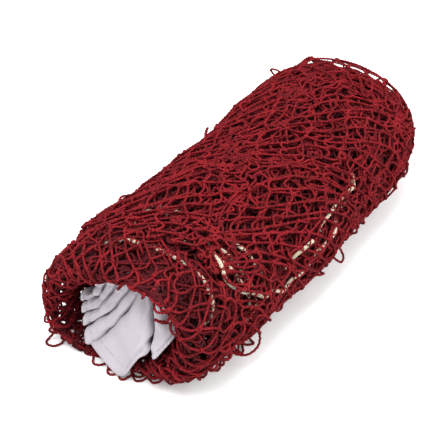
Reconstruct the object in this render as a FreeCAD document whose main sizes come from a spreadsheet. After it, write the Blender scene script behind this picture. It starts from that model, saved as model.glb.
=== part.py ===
"""A folded racket-sports net: dark red knotted netting wrapped round its pleated white headband.

The net is a panel of knotted netting about 6 m long. A white fabric headband is folded over its
upper edge and holds a cord, and cream ropes are laced along its lower and short edges. Here it
is put away: the headband is pleated to and fro into a tilted stack in the middle, the netting is
folded round the stack and wrapped twice round the bundle, and its near end is rolled into a mouth.

Frame: X runs along the bundle from the open mouth to the closed far end, Z is up, and the
origin is on the ground under the middle of the bundle. Lengths are in millimetres.
"""

import FreeCAD, Part
import math
import os

from FreeCAD import Placement, Rotation, Vector

# Driving dimensions: alias, value, what it is.
DIMENSIONS = [
    ("bundle_length", 480.0, "whole bundle, mouth to far end"),
    ("bundle_width", 204.0, "whole bundle, side to side"),
    ("bundle_height", 130.0, "whole bundle, ground to top"),
    ("ground_sink", 3.0, "how much of the round underside is pressed flat"),
    ("wrap_layer", 5.0, "thickness of the outer wrap of netting"),
    ("rope_space", 8.0, "space between the wraps, where the ropes lie"),
    ("inner_layer", 5.0, "thickness of the inner wrap of netting"),
    ("fold_gap", 1.0, "clearance between neighbouring folds of netting"),
    ("mouth_depth", 68.0, "length of the rolled mouth"),
    ("mouth_inset", 6.0, "how much slimmer the mouth is than the wrap, all round"),
    ("tunnel_width", 128.0, "clear width inside the mouth"),
    ("tunnel_height", 94.0, "clear height inside the mouth"),
    ("tunnel_side", 24.0, "how far the tunnel sits towards the thin left wall"),
    ("tunnel_middle", 57.0, "ground to the tunnel's middle"),
    ("mouth_quarter", 45.0, "tunnel's middle to where the mouth's walls begin"),
    ("band_depth", 48.0, "headband from its folded edge to its hem"),
    ("band_thickness", 3.2, "headband sleeve, two fabrics and the cord space"),
    ("band_pitch", 4.2, "from one pass of the headband to the next"),
    ("band_tilt", 45.0, "tilt of the stack about the bundle's length, degrees"),
    ("band_near", -222.0, "X of the pleats' ends in the mouth"),
    ("band_far", 180.0, "X of the pleats' ends inside"),
    ("band_side", 4.0, "Y of the stack's middle"),
    ("cord_radius", 1.1, "cord inside the headband"),
    ("cord_slack", 0.15, "room round that cord in its pocket"),
    ("cord_edge", 5.0, "headband's folded edge to the cord's middle"),
    ("thread_radius", 0.3, "sewing thread"),
    ("thread_edge", 9.0, "headband's edges to the rows of stitches"),
    ("hem_length", 28.0, "reinforced hem at each end of the headband"),
    ("hem_layer", 0.8, "thickness of that hem"),
    ("rope_radius", 1.8, "cream rope on the netting's edges"),
    ("lacing_radius", 0.5, "red twine that laces the rope to the netting"),
    ("lacing_gap", 0.1, "rope to that twine"),
    ("mesh_diagonal", 40.0, "width of a mesh pulled shut, and spacing of the lacing"),
    ("hem_near", -112.0, "X of the lower rope's near bends"),
    ("hem_far", 183.0, "X of the lower rope's far bends"),
    ("taper_from", 110.0, "X where the bundle begins to narrow"),
    ("taper_middle", 150.0, "X where it begins to narrow faster"),
    ("side_rope_from", -163.0, "X where the outer short edge begins"),
    ("side_rope_turn", 9.0, "how far a short edge moves along X in one turn"),
    ("side_rope_length", 760.0, "height of the netting, which a short edge runs"),
    ("pack_near", -166.0, "X of the packs' near ends"),
    ("pack_far", 184.0, "X of the packs' far ends"),
]
BAND_PASSES = 14
HEM_PASSES = 18
# Where the lower rope's first and last pass lie, in degrees round the right side from its middle.
HEM_LOWEST, HEM_HIGHEST = -80, 80
# Corners of a short edge's rope in one turn, and the angle where each of the two begins.
SIDE_ROPE_CORNERS = 26
LEFT_ROPE_START, RIGHT_ROPE_START = 100, 250

# The barrel's outline: place as a share of its length, size as a share of the full section.
WRAP_OUTLINE = [
    (0.00, 0.94),
    (0.06, 0.975),
    (0.14, 1.0),
    (0.70, 1.0),
    (0.80, 0.965),
    (0.88, 0.89),
    (0.94, 0.77),
    (0.98, 0.60),
    (1.00, 0.36),
]
MOUTH_OUTLINE = [
    (0.00, 0.86),
    (0.08, 0.94),
    (0.25, 1.0),
    (0.80, 1.0),
    (1.00, 0.97),
]
EVEN_OUTLINE = [(0, 1), (1, 1)]

doc = FreeCAD.newDocument("folded_net")
sheet = doc.addObject("Spreadsheet::Sheet", "Sizes")
for row, (alias, value, meaning) in enumerate(DIMENSIONS, start=1):
    sheet.set(f"A{row}", meaning)
    sheet.set(f"B{row}", str(value))
    sheet.setAlias(f"B{row}", alias)
doc.recompute()


def size(alias):
    """A driving dimension, read from the sheet."""
    return float(getattr(sheet, alias))


def bind(thing, **formulas):
    """Binds properties to the sheet. A formula calls the sheet S, as in 'S.wrap_layer'."""
    for prop, formula in formulas.items():
        thing.setExpression(prop.replace("__", "."), formula.replace("S.", "Sizes."))


def add(kind, name, **formulas):
    """A new object of the document with its sizes bound to the sheet."""
    thing = doc.addObject(kind, name)
    bind(thing, **formulas)
    return thing


def combine(kind, name, base, tool):
    """A boolean of two objects: Part::Cut, Part::Common or Part::Fuse."""
    made = doc.addObject(kind, name)
    made.Base = base
    made.Tool = tool
    return made


def block(name, near, far, low_y, high_y, low_z, high_z):
    """A box between planes, each a formula."""
    box = add(
        "Part::Box",
        name,
        Length=f"({far}) - ({near})",
        Width=f"({high_y}) - ({low_y})",
        Height=f"({high_z}) - ({low_z})",
    )
    bind(box, Placement__Base__x=near, Placement__Base__y=low_y, Placement__Base__z=low_z)
    return box


# ---------------------------------------------------------------- rounded netting

MIDDLE_HEIGHT = "(S.bundle_height - S.ground_sink) / 2"
HALF_WIDTH = "S.bundle_width / 2"
HALF_HEIGHT = "(S.bundle_height + S.ground_sink) / 2"
BUNDLE_NEAR, BUNDLE_FAR = "-S.bundle_length / 2", "S.bundle_length / 2"
WRAP_NEAR = f"{BUNDLE_NEAR} + S.mouth_depth + S.fold_gap"
INNER_WRAP_NEAR = f"{WRAP_NEAR} + 4"
INNER_WRAP_FAR = f"{BUNDLE_FAR} - S.wrap_layer - S.rope_space"
FAR_AWAY = "S.bundle_length"


def barrel(name, half_width, half_height, near, far, outline, side="0", middle=MIDDLE_HEIGHT):
    """A loft of ellipses from X near to X far. All sizes are formulas."""
    rings = []
    for number, (place, share) in enumerate(outline):
        ring = add(
            "Part::Ellipse",
            f"{name}_ring_{number}",
            MajorRadius=f"({half_width}) * {share}",
            MinorRadius=f"({half_height}) * {share}",
        )
        # Turned so that it faces along X with its long axis on Y.
        ring.Placement = Placement(Vector(), Rotation(Vector(1, 1, 1), 120))
        bind(ring, Placement__Base__x=f"({near}) + (({far}) - ({near})) * {place}")
        bind(ring, Placement__Base__y=side, Placement__Base__z=middle)
        rings.append(ring)
    loft = doc.addObject("Part::Loft", name)
    loft.Sections = rings
    loft.Solid = True
    loft.Ruled = True
    return loft


def wrap_barrel(name, inset, near, far):
    """The bundle's rounded form, made smaller all round by inset."""
    return barrel(
        name,
        f"{HALF_WIDTH} - ({inset})",
        f"{HALF_HEIGHT} - ({inset})",
        near,
        far,
        WRAP_OUTLINE,
    )


def above_ground(name, shape):
    """The part of a shape that is above the ground."""
    air = block(f"{name}_air", f"-{FAR_AWAY}", FAR_AWAY, f"-{FAR_AWAY}", FAR_AWAY, "0", FAR_AWAY)
    return combine("Part::Common", name, air, shape)


def make_outer_wrap():
    """The last turn of netting round the whole bundle, closed at the far end."""
    outside = wrap_barrel("outer_skin", "0", WRAP_NEAR, BUNDLE_FAR)
    inside = wrap_barrel(
        "outer_inside", "S.wrap_layer", f"{WRAP_NEAR} - 1", f"{BUNDLE_FAR} - S.wrap_layer"
    )
    pressed = above_ground("outer_on_ground", outside)
    return combine("Part::Cut", "outer_wrap", pressed, inside)


def make_inner_wrap():
    """The turn of netting under it, with room for the ropes between the two."""
    inset = "S.wrap_layer + S.rope_space"
    outside = wrap_barrel("inner_skin", inset, INNER_WRAP_NEAR, INNER_WRAP_FAR)
    inside = wrap_barrel(
        "inner_inside",
        f"{inset} + S.inner_layer",
        f"{INNER_WRAP_NEAR} - 1",
        f"{INNER_WRAP_FAR} - S.inner_layer",
    )
    return combine("Part::Cut", "inner_wrap", outside, inside)


def make_mouth():
    """The near end of the netting, rolled back on itself: top roll, right roll, left wall, floor."""
    outside = barrel(
        "mouth_skin",
        f"{HALF_WIDTH} - S.mouth_inset",
        f"{HALF_HEIGHT} - S.mouth_inset",
        BUNDLE_NEAR,
        f"{BUNDLE_NEAR} + S.mouth_depth",
        MOUTH_OUTLINE,
    )
    tunnel = barrel(
        "tunnel",
        "S.tunnel_width / 2",
        "S.tunnel_height / 2",
        f"{BUNDLE_NEAR} - 1",
        f"{BUNDLE_NEAR} + S.mouth_depth + 1",
        EVEN_OUTLINE,
        side="S.tunnel_side",
        middle="S.tunnel_middle",
    )
    ring = combine("Part::Cut", "mouth_ring", outside, tunnel)
    left, right = "S.tunnel_side + S.mouth_quarter", "S.tunnel_side - S.mouth_quarter"
    spans = {
        "netting_mouth_top_roll": (right, left, "S.tunnel_middle", FAR_AWAY),
        "netting_mouth_floor": (right, left, f"-{FAR_AWAY}", "S.tunnel_middle"),
        "netting_mouth_left_wall": (left, FAR_AWAY, f"-{FAR_AWAY}", FAR_AWAY),
        "netting_mouth_right_roll": (f"-{FAR_AWAY}", right, f"-{FAR_AWAY}", FAR_AWAY),
    }
    return {
        name: combine(
            "Part::Common",
            f"{name}_piece",
            ring,
            block(f"{name}_span", f"-{FAR_AWAY}", FAR_AWAY, *planes),
        )
        for name, planes in spans.items()
    }


# ---------------------------------------------------------------- headband


def zigzag(aside):
    """Edges that follow the headband's passes to and fro, at a distance aside on their left.

    The passes run along X and are stacked along Y about Y = 0, in the plane Z = 0.
    """
    near, far, pitch = size("band_near"), size("band_far"), size("band_pitch")
    first = -(BAND_PASSES - 1) * pitch / 2
    edges = []
    for number in range(BAND_PASSES):
        outward = number % 2 == 0
        way = 1 if outward else -1
        line_y = first + number * pitch + way * aside
        start_x, end_x = (near, far) if outward else (far, near)
        edges.append(Part.LineSegment(Vector(start_x, line_y, 0), Vector(end_x, line_y, 0)).toShape())
        if number == BAND_PASSES - 1:
            break
        radius = pitch / 2 - way * aside
        middle_y = first + (number + 0.5) * pitch
        bend = Part.Arc(
            Vector(end_x, middle_y - radius, 0),
            Vector(end_x + way * radius, middle_y, 0),
            Vector(end_x, middle_y + radius, 0),
        )
        edges.append(bend.toShape())
    return edges


def in_stack(thing, aside="0", depth="0"):
    """Places a thing drawn in the passes' plane, aside across the passes and deep in the headband."""
    thing.Placement = Placement(Vector(), Rotation(Vector(1, 0, 0), size("band_tilt")))
    tilt = "S.band_tilt"
    bind(
        thing,
        Placement__Rotation__Angle=tilt,
        Placement__Base__y=f"S.band_side + ({aside}) * cos({tilt}) - ({depth}) * sin({tilt})",
        Placement__Base__z=f"{MIDDLE_HEIGHT} + ({aside}) * sin({tilt}) + ({depth}) * cos({tilt})",
    )
    return thing


def drawn_wire(name, edges):
    """A wire that the sweeps and extrusions follow."""
    drawn = doc.addObject("Part::Feature", name)
    drawn.Shape = Part.Wire(edges)
    return drawn


def make_pleats():
    """The headband as one sleeve: a zigzag outline, as deep as the folded headband."""
    half = size("band_thickness") / 2
    left, right = zigzag(half), zigzag(-half)
    start = Part.LineSegment(right[0].Vertexes[0].Point, left[0].Vertexes[0].Point).toShape()
    end = Part.LineSegment(left[-1].Vertexes[1].Point, right[-1].Vertexes[1].Point).toShape()
    outline = drawn_wire("pleats_outline", Part.__sortEdges__([*left, end, *right, start]))
    pleats = add("Part::Extrusion", "pleats", LengthFwd="S.band_depth")
    pleats.Base = outline
    pleats.DirMode = "Custom"
    pleats.Dir = Vector(0, 0, 1)
    pleats.Solid = True
    return in_stack(pleats, depth="-S.band_depth / 2")


def make_tube(name, path, radius):
    """A round tube along a drawn wire; radius is a formula."""
    first = path.Shape.Edges[0]
    ring = add("Part::Circle", f"{name}_section", Radius=radius)
    ring.Placement = Placement(first.Vertexes[0].Point, Rotation(Vector(0, 0, 1), first.tangentAt(0)))
    tube = doc.addObject("Part::Sweep", name)
    tube.Sections = [ring]
    tube.Spine = (path, [])
    tube.Solid = True
    tube.Frenet = False
    return tube


CORD_DEPTH = "S.cord_edge - S.band_depth / 2"
FIRST_PASS = f"-({BAND_PASSES} - 1) / 2 * S.band_pitch"
LAST_PASS = f"({BAND_PASSES} - 1) / 2 * S.band_pitch"


def make_headband():
    """The sleeve with the cord's pocket along its folded edge."""
    path = drawn_wire("pocket_path", zigzag(0))
    pocket = in_stack(
        make_tube("pocket", path, "S.cord_radius + S.cord_slack"),
        depth=CORD_DEPTH,
    )
    return combine("Part::Cut", "sleeve", make_pleats(), pocket)


def make_head_cord():
    """The cord that lies in the pocket from end to end and holds the net up when it is tied."""
    path = drawn_wire("cord_path", zigzag(0))
    return in_stack(make_tube("cord_in_pocket", path, "S.cord_radius"), depth=CORD_DEPTH)


def make_end_hem(name, aside):
    """The folded-over fabric that strengthens an end of the headband, on its outer face."""
    hem = add(
        "Part::Box",
        name,
        Length="S.hem_length",
        Width="S.hem_layer",
        Height="S.band_depth",
    )
    in_stack(hem, aside=aside, depth="-S.band_depth / 2")
    bind(hem, Placement__Base__x="S.band_near")
    return hem


def make_stitching():
    """Two rows of stitches, one near each edge of the headband, as one run of thread on each pass."""
    threads = []
    for row, side in enumerate((-1, 1)):
        for number in range(BAND_PASSES):
            thread = add(
                "Part::Cylinder",
                f"thread_{row}_{number}",
                Radius="S.thread_radius",
                Height="S.band_far - S.band_near - S.hem_length - S.fold_gap",
            )
            thread.Placement = Placement(Vector(), Rotation(Vector(0, 1, 0), 90))
            bind(
                thread,
                Placement__Base__x="S.band_near + S.hem_length + S.fold_gap",
                Placement__Base__y=f"{FIRST_PASS} + ({number} + 0.5) * S.band_pitch",
                Placement__Base__z=f"{side} * (S.band_depth / 2 - S.thread_edge)",
            )
            threads.append(thread)
    stitching = doc.addObject("Part::Compound", "stitching")
    stitching.Links = threads
    return in_stack(stitching)


# ---------------------------------------------------------------- folded packs


def make_packs():
    """The folded netting between the stack of pleats and the inner wrap: one pack on each of its sides.

    A span is measured from the stack's middle, aside across its passes and deep in the headband.
    """
    inset = "S.wrap_layer + S.rope_space + S.inner_layer + S.fold_gap"
    far = f"{INNER_WRAP_FAR} - S.inner_layer - S.fold_gap"
    filling = wrap_barrel("filling", inset, INNER_WRAP_NEAR, far)
    across = f"{BAND_PASSES} * S.band_pitch / 2 + S.hem_layer + S.fold_gap"
    deep = "S.band_depth / 2 + S.fold_gap"
    narrow = f"{across} - S.fold_gap"
    spans = {
        "netting_upper_left_pack": (across, FAR_AWAY, f"-{FAR_AWAY}", FAR_AWAY),
        "netting_lower_right_pack": (f"-{FAR_AWAY}", f"-({across})", f"-{FAR_AWAY}", FAR_AWAY),
        "netting_lower_left_pack": (f"-({narrow})", narrow, f"-{FAR_AWAY}", f"-({deep})"),
        "netting_upper_right_pack": (f"-({narrow})", narrow, deep, FAR_AWAY),
    }
    packs = {}
    for name, (from_aside, to_aside, from_depth, to_depth) in spans.items():
        span = add(
            "Part::Box",
            f"{name}_span",
            Length="S.pack_far - S.pack_near",
            Width=f"({to_aside}) - ({from_aside})",
            Height=f"({to_depth}) - ({from_depth})",
        )
        in_stack(span, aside=from_aside, depth=from_depth)
        bind(span, Placement__Base__x="S.pack_near")
        packs[name] = combine("Part::Common", f"{name}_piece", span, filling)
    tuck_span = block(
        "netting_far_tuck_span",
        "S.pack_far + S.fold_gap",
        FAR_AWAY,
        f"-{FAR_AWAY}",
        FAR_AWAY,
        f"-{FAR_AWAY}",
        FAR_AWAY,
    )
    packs["netting_far_tuck"] = combine("Part::Common", "netting_far_tuck_piece", filling, tuck_span)
    return packs


# ---------------------------------------------------------------- ropes between the wraps


def wrap_share(x):
    """How large the space between the wraps is at X, as a share of its full section."""
    near = -size("bundle_length") / 2 + size("mouth_depth")
    far = size("bundle_length") / 2 - size("wrap_layer") - size("rope_space") / 2
    place = (x - near) / (far - near)
    for (from_place, from_share), (to_place, to_share) in zip(WRAP_OUTLINE, WRAP_OUTLINE[1:]):
        if place <= to_place:
            return from_share + (to_share - from_share) * (place - from_place) / (to_place - from_place)
    return WRAP_OUTLINE[-1][1]


def between_wraps(x, degrees):
    """The point midway between the wraps, at an angle round from the right side's middle."""
    inset = size("wrap_layer") + size("rope_space") / 2
    half_width = size("bundle_width") / 2 - inset
    half_height = (size("bundle_height") + size("ground_sink")) / 2 - inset
    middle = (size("bundle_height") - size("ground_sink")) / 2
    share, angle = wrap_share(x), math.radians(degrees)
    return Vector(
        x,
        -half_width * share * math.cos(angle),
        middle + half_height * share * math.sin(angle),
    )


def hem_points():
    """The lower rope's corners: passes to and fro over the right side, from below to above."""
    stations = [size("hem_near"), size("taper_from"), size("taper_middle"), size("hem_far")]
    corners = []
    for number in range(HEM_PASSES):
        degrees = HEM_LOWEST + (HEM_HIGHEST - HEM_LOWEST) * number / (HEM_PASSES - 1)
        outward = number % 2 == 0
        corners += [between_wraps(x, degrees) for x in (stations if outward else stations[::-1])]
    return corners


def side_points(start_x, start_degrees):
    """A short edge's corners: it goes round the bundle and moves a little along it."""
    step = 360 / SIDE_ROPE_CORNERS
    corners = [between_wraps(start_x, start_degrees)]
    length = 0
    while length < size("side_rope_length"):
        turned = len(corners) * step
        x = start_x + size("side_rope_turn") * turned / 360
        corners.append(between_wraps(x, start_degrees + turned))
        length += corners[-1].distanceToPoint(corners[-2])
    return corners


def rounded_route(name, corners):
    """Straight runs joined by arcs that touch them, as a wire."""
    edges = []
    reached = corners[0]
    smallest = math.inf
    for before, corner, after in zip(corners, corners[1:], corners[2:]):
        inward = (corner - before).normalize()
        outward = (after - corner).normalize()
        half_turn = inward.getAngle(outward) / 2
        shorter = min(corner.distanceToPoint(before), corner.distanceToPoint(after))
        radius = 0.45 * shorter / math.tan(half_turn)
        smallest = min(smallest, radius)
        arc_start = corner - inward * (0.45 * shorter)
        arc_end = corner + outward * (0.45 * shorter)
        bisector = (outward - inward).normalize()
        arc_middle = corner + bisector * (radius / math.cos(half_turn) - radius)
        edges.append(Part.LineSegment(reached, arc_start).toShape())
        edges.append(Part.Arc(arc_start, arc_middle, arc_end).toShape())
        reached = arc_end
    edges.append(Part.LineSegment(reached, corners[-1]).toShape())
    route = drawn_wire(name, edges)
    print(f"{name}: {route.Shape.Length:.0f} mm long, smallest radius {smallest:.1f} mm")
    return route


def make_lacing(name, corners):
    """Hitches of netting twine round a rope, one for each mesh of the netting's last row."""
    major = size("rope_radius") + size("lacing_gap") + size("lacing_radius")
    spacing = size("mesh_diagonal")
    hitches = []
    waiting = spacing / 2
    for start, end in zip(corners, corners[1:]):
        run = end - start
        count = int((waiting + run.Length) / spacing)
        waiting += run.Length - count * spacing
        for number in range(count):
            place = start + run * ((number + 0.5) / count)
            hitches.append(Part.makeTorus(major, size("lacing_radius"), place, run))
    lacing = doc.addObject("Part::Feature", name)
    lacing.Shape = Part.makeCompound(hitches)
    return lacing


def make_ropes():
    """The cream ropes on the netting's lower edge and two short edges, and the twine round them."""
    left = side_points(size("side_rope_from"), LEFT_ROPE_START)
    right_from = left[-1].x + size("side_rope_turn") / 2
    corners = {
        "hem_rope": hem_points(),
        "left_side_rope": left,
        "right_side_rope": side_points(right_from, RIGHT_ROPE_START),
    }
    made = {
        name: make_tube(f"{name}_tube", rounded_route(f"{name}_route", points), "S.rope_radius")
        for name, points in corners.items()
    }
    made |= {
        f"{name}_lacing": make_lacing(f"{name}_hitches", points)
        for name, points in corners.items()
    }
    return made


# ---------------------------------------------------------------- the assembly

nodes = {
    "headband": make_headband(),
    "headband_left_hem": make_end_hem(
        "first_hem", f"{FIRST_PASS} - S.band_thickness / 2 - S.hem_layer"
    ),
    "headband_right_hem": make_end_hem("last_hem", f"{LAST_PASS} + S.band_thickness / 2"),
    "headband_stitching": make_stitching(),
    "head_cord": make_head_cord(),
    "netting_outer_wrap": make_outer_wrap(),
    "netting_inner_wrap": make_inner_wrap(),
    **make_mouth(),
    **make_packs(),
    **make_ropes(),
}
for label, thing in nodes.items():
    thing.Label = label
doc.recompute()

for thing in doc.Objects:
    if {"Invalid", "Error"} & set(thing.State):
        raise RuntimeError(f"{thing.Name} failed: {thing.State}")
for label, thing in nodes.items():
    if thing.Shape.isNull() or not thing.Shape.isValid():
        raise RuntimeError(f"{label} has no valid shape")
for label in ("hem_rope", "left_side_rope", "right_side_rope"):
    route = doc.getObject(f"{label}_route").Shape
    expected = math.pi * size("rope_radius") ** 2 * route.Length
    print(f"{label}: volume {nodes[label].Shape.Volume / expected:.3f} of section times length")

os.makedirs("parts", exist_ok=True)
for label, thing in nodes.items():
    thing.Shape.exportStep(f"parts/{label}.step")
    box = thing.Shape.optimalBoundingBox()
    solids = len(thing.Shape.Solids)
    print(
        f"{label}: {solids} solid(s), {thing.Shape.Volume / 1000:.1f} cm3,"
        f" X {box.XMin:.1f}..{box.XMax:.1f}, Y {box.YMin:.1f}..{box.YMax:.1f},"
        f" Z {box.ZMin:.1f}..{box.ZMax:.1f}"
    )
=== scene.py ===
"""Looks of the folded net: twine netting in many layers, pleated headband, ropes, light and camera.

Everything is worked out in millimetres and made in metres, in the frame of the CAD model.
"""
import math

import bpy
import numpy as np
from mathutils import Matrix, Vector


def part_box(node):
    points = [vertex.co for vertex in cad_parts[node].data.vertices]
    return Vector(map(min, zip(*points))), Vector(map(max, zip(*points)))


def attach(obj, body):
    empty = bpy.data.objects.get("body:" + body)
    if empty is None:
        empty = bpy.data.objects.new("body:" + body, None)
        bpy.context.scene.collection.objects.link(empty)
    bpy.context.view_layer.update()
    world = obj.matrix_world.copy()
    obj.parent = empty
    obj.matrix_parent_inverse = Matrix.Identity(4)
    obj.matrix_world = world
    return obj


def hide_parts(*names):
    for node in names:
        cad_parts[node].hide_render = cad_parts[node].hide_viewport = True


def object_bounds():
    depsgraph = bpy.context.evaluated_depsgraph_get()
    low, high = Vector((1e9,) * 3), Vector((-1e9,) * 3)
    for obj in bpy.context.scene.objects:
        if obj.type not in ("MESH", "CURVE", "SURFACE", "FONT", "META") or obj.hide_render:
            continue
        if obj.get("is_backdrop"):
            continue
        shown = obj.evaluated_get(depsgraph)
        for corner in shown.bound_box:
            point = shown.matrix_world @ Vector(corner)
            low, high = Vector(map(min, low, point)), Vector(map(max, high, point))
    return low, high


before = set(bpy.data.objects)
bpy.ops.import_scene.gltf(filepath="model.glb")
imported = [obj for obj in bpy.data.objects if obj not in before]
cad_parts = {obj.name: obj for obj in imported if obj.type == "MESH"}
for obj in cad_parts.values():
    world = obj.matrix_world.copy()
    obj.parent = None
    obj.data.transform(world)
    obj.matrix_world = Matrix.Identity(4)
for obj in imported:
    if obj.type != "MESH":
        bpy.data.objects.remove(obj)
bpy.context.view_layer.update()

MM = 0.001


def box_mm(node):
    """A CAD node's lowest and highest corner, in millimetres."""
    low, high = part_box(node)
    return np.array(low) / MM, np.array(high) / MM


WRAP_LOW, WRAP_HIGH = box_mm("netting_outer_wrap")
HALF_WIDTH = WRAP_HIGH[1]
HALF_HEIGHT = (WRAP_HIGH[2] - WRAP_LOW[2]) / 2
NEAR_X, COLLAR_X, FAR_X = box_mm("netting_mouth_top_roll")[0][0], WRAP_LOW[0], WRAP_HIGH[0]

# ---- vectors, runs and random fields


def unit(vectors):
    """Vectors drawn out to length 1."""
    return vectors / (np.linalg.norm(vectors, axis=-1, keepdims=True) + 1e-9)


def run_along(points):
    """How far along a chain of points each of them lies."""
    return np.concatenate([[0], np.cumsum(np.linalg.norm(np.diff(points, axis=0), axis=1))])


def at_run(points, run, wanted):
    """Places at wanted distances along a chain of points."""
    return np.stack([np.interp(wanted, run, values) for values in points.T], axis=1)


def wave_field(seed, wavelength, round_length=None):
    """A smooth random function of two coordinates in mm, about 1 in size.

    It is periodic in the second if that one goes round the bundle.
    """
    count = 28
    rng = np.random.default_rng(seed)
    angle = rng.uniform(0, 2 * np.pi, count)
    number = 2 * np.pi / (wavelength * rng.uniform(0.65, 1.6, count))
    along, around = number * np.cos(angle), number * np.sin(angle)
    if round_length:
        step = 2 * np.pi / round_length
        around = np.round(around / step) * step
    phase = rng.uniform(0, 2 * np.pi, count)

    def field(s, v):
        total = np.zeros(np.broadcast(s, v).shape)
        for a, b, c in zip(along, around, phase):
            total += np.cos(a * s + b * v + c)
        return total * math.sqrt(2 / count)

    return field


# ---- surfaces the netting lies on


class Surface:
    """A surface as a grid of points over two coordinates in mm, with its normals and its metric."""

    def __init__(self, points, s_values, v_values, wraps, outward=1):
        self.s0, self.ds = s_values[0], s_values[1] - s_values[0]
        self.v0, self.dv = v_values[0], v_values[1] - v_values[0]
        self.s_end = s_values[-1]
        self.round_length = self.dv * len(v_values) if wraps else None
        if wraps:
            points = np.concatenate([points[:, -1:], points, points[:, :2]], axis=1)
        along = np.gradient(points, self.ds, axis=0)
        around = np.gradient(points, self.dv, axis=1)
        if wraps:
            points, along, around = (t[:, 1:-1] for t in (points, along, around))
        normal = unit(np.cross(along, around) * outward)
        first = unit(along)
        second = np.cross(normal, first)
        self.points, self.normals = points, normal
        parts = (along * first, around * first, around * second)
        self.metric = np.stack([part.sum(2) for part in parts], axis=2)

    def sample(self, table, s, v):
        """A table's values at coordinates, between its grid points."""
        if self.round_length:
            v = (v - self.v0) % self.round_length + self.v0
        rows, columns = table.shape[:2]
        a = np.clip((s - self.s0) / self.ds, 0, rows - 1.001)
        b = np.clip((v - self.v0) / self.dv, 0, columns - 1.001)
        i, j = a.astype(int), b.astype(int)
        fa, fb = (a - i)[..., None], (b - j)[..., None]
        low = table[i, j] * (1 - fb) + table[i, j + 1] * fb
        high = table[i + 1, j] * (1 - fb) + table[i + 1, j + 1] * fb
        return low * (1 - fa) + high * fa

    def place(self, s, v, height):
        """Points at a height above the surface."""
        return self.sample(self.points, s, v) + self.sample(self.normals, s, v) * height[..., None]


def ring_points(x, unit_y, unit_z, half_width, half_height):
    """Points round the bundle's middle line, one ring at each X."""
    y = lean(x)[:, None] + unit_y * half_width
    z = HALF_HEIGHT + unit_z * half_height
    return np.stack([np.broadcast_to(x[:, None], y.shape), y, z], axis=2)


SECTION_POWER = 2.15
FAR_ROUNDING, CAP_POWER = 100.0, 2.07
STRAIGHT_END = FAR_X - FAR_ROUNDING
NEAR_LEAN, FAR_LEAN = 10.0, 18.5
COLLAR_SIZE, RIM_SIZE = 0.97, 0.925
GROOVE_DEPTH, GROOVE_WIDTH = 0.062, 10.0
FLAT_DEPTH, FLAT_MIDDLE, FLAT_WIDTH = 0.06, 80, 130


def groove(x, unit_y):
    """How much smaller the section is where the collar pulls tight over the right flank."""
    right = np.clip(0.45 - 1.4 * unit_y, 0, 1)
    return 1 - GROOVE_DEPTH * right * np.exp(-(((x - COLLAR_X - 1.0) / GROOVE_WIDTH) ** 2))


def section_table(steps=720):
    """The section's unit shape at equal steps round it, and the full section's length round."""
    angle = np.linspace(0, 2 * np.pi, steps * 8 + 1)
    c, s = np.cos(angle), np.sin(angle)
    y = np.sign(c) * np.abs(c) ** (2 / SECTION_POWER)
    z = np.sign(s) * np.abs(s) ** (2 / SECTION_POWER)
    run = np.hypot(np.diff(y * HALF_WIDTH), np.diff(z * HALF_HEIGHT))
    length = np.concatenate([[0], np.cumsum(run)])
    wanted = np.linspace(0, length[-1], steps, endpoint=False)
    return np.interp(wanted, length, y), np.interp(wanted, length, z), length[-1]


UNIT_Y, UNIT_Z, ROUND_LENGTH = section_table()
V_VALUES = np.arange(len(UNIT_Y)) * ROUND_LENGTH / len(UNIT_Y)


def lean(x):
    """How far left the bundle's middle line stands at X."""
    return np.where(x < 0, NEAR_LEAN, FAR_LEAN) * (x / FAR_X) ** 2


def collar_size(x):
    """The collar's size at X, as a share of the full section."""
    share = np.clip((COLLAR_X - x) / (COLLAR_X - NEAR_X), 0, 1)
    return COLLAR_SIZE + (RIM_SIZE - COLLAR_SIZE) * share**2


def cap_profile():
    """The far end's outline from its pole: distance along it, X and size."""
    t = np.linspace(0, 1, 400)
    size = np.sin(t * np.pi / 2) ** (2 / CAP_POWER)
    x = STRAIGHT_END + FAR_ROUNDING * np.cos(t * np.pi / 2) ** (2 / CAP_POWER)
    mean_radius = math.sqrt(HALF_WIDTH * HALF_HEIGHT)
    run = np.hypot(np.diff(x), np.diff(size * mean_radius))
    return np.concatenate([[0], np.cumsum(run)]), x, size


CAP_RUN, CAP_X, CAP_SIZE = cap_profile()
CAP_LENGTH = CAP_RUN[-1]


def meridian(distance):
    """X and size of the section at a distance from the far pole."""
    on_cap = distance <= CAP_LENGTH
    straight_x = STRAIGHT_END - (distance - CAP_LENGTH)
    x = np.where(on_cap, np.interp(distance, CAP_RUN, CAP_X), straight_x)
    size = np.where(on_cap, np.interp(distance, CAP_RUN, CAP_SIZE), 1.0)
    return x, size


def barrel_s(x):
    """The barrel's coordinate at X on its straight part: minus the distance from the far pole."""
    return -(CAP_LENGTH + FAR_X - FAR_ROUNDING - x)


def barrel_surface():
    """The bundle from the collar to near the far pole, flattened at its upper left."""
    overlap, far_end = 12, 40.0
    s = np.arange(barrel_s(COLLAR_X) - overlap, -far_end, 3.0)
    x, size = meridian(-s)
    upper_left = np.clip(0.75 * UNIT_Y + 0.75 * UNIT_Z - 0.25, 0, 1)[None]
    flat = 1 - FLAT_DEPTH * upper_left * np.exp(-(((x - FLAT_MIDDLE) / FLAT_WIDTH) ** 2))[:, None]
    size = size[:, None] * groove(x[:, None], UNIT_Y[None]) * flat
    points = ring_points(x, UNIT_Y * size, UNIT_Z * size, HALF_WIDTH, HALF_HEIGHT)
    return Surface(points, s, V_VALUES, wraps=True, outward=-1)


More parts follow.
